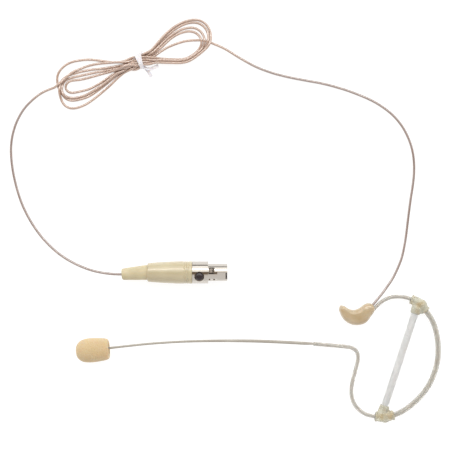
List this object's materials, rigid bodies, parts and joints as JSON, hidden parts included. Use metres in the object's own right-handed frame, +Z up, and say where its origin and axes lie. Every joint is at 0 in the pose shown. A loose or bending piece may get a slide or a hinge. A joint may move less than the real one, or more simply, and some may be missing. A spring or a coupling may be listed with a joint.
{
  "type": "headset microphone",
  "caption": "Single-ear hook headset microphone: foam-tipped thin boom, strapped sprung hook, soft ear rest, thin cable tied in a hank, miniature latching connector.",
  "frame": {"origin": "middle of the headset's footprint (without its cable), on the surface it lies on", "axes": "+X from the boom's tip towards the ear hook, +Y in the lying plane towards the cable, +Z up from the surface"},
  "size_m": [0.2067, 0.1928, 0.0117],
  "materials": {
    "foam": "open-cell beige foam",
    "capsule_metal": "satin",
    "circuit_board": "matte green",
    "gold": "plated",
    "boom_skin": "thin grey-beige coating",
    "lead_insulation": "matte",
    "spring_wire": "drawn wire",
    "clear_silicone": "milky translucent",
    "clip_silicone": "milky yellowish translucent",
    "ear_rest_silicone": "soft matte beige",
    "cable_jacket": "satin beige jacket",
    "tie_paper": "white coated wire tie",
    "boot_rubber": "satin beige",
    "handle_plastic": "semi-gloss beige",
    "shell_chrome": "polished",
    "black_plastic": "satin black",
    "white_plastic": "matte off-white"
  },
  "bodies": {
    "ear_hook": {"front_sleeve": "clear_silicone", "rear_sleeve": "clear_silicone", "top_sleeve": "clear_silicone", "memory_wire": "spring_wire", "hook_lead": "lead_insulation", "lower_clip": "clip_silicone", "upper_clip": "clip_silicone", "strap_tube": "clear_silicone", "ear_rest": "ear_rest_silicone", "splice_core": "white_plastic", "cable_run_ear": "cable_jacket", "cable_hank": "cable_jacket", "cable_run_plug": "cable_jacket", "tie_band": "tie_paper", "tie_tail_long": "tie_paper", "tie_tail_short": "tie_paper", "strain_relief_boot": "boot_rubber", "connector_handle": "handle_plastic", "cable_chuck": "black_plastic", "connector_shell": "shell_chrome", "contact_insert": "black_plastic", "contact_1": "gold", "contact_2": "gold", "contact_3": "gold", "core_1": "lead_insulation", "core_2": "lead_insulation", "core_3": "lead_insulation"},
    "boom_rear": {"boom_tube_rear": "boom_skin", "boom_lead_rear": "lead_insulation"},
    "boom_front": {"boom_tube_front": "boom_skin", "boom_lead_front": "lead_insulation", "capsule_neck": "capsule_metal", "capsule_housing": "capsule_metal", "capsule_grille": "capsule_metal", "impedance_board": "circuit_board", "electret_backplate": "gold", "electret_diaphragm": "capsule_metal"},
    "windscreen": {"windscreen": "foam"},
    "latch": {"latch_lever": "spring_wire", "latch_button": "black_plastic"}
  },
  "joints": [
    {"name": "boom_raise", "type": "hinge", "parent": "ear_hook", "child": "boom_rear", "pos_m": [0.0262, 0.00694, 0.0026], "axis": [0, 0, 1], "range_deg": [-15, 20]},
    {"name": "boom_bend", "type": "hinge", "parent": "boom_rear", "child": "boom_front", "pos_m": [-0.01732, 0.0085, 0.00434], "axis": [0, 1, 0], "range_deg": [0, 35]},
    {"name": "windscreen_pull", "type": "slide", "parent": "boom_front", "child": "windscreen", "axis": [-0.9925, -0.1219, 0], "range_m": [0, 0.02]},
    {"name": "latch_press", "type": "hinge", "parent": "ear_hook", "child": "latch", "pos_m": [-0.0342, 0.0412, 0.0079], "axis": [0, 1, 0], "range_deg": [0, 5.5], "stiffness_Nm_per_rad": 0.4}
  ]
}
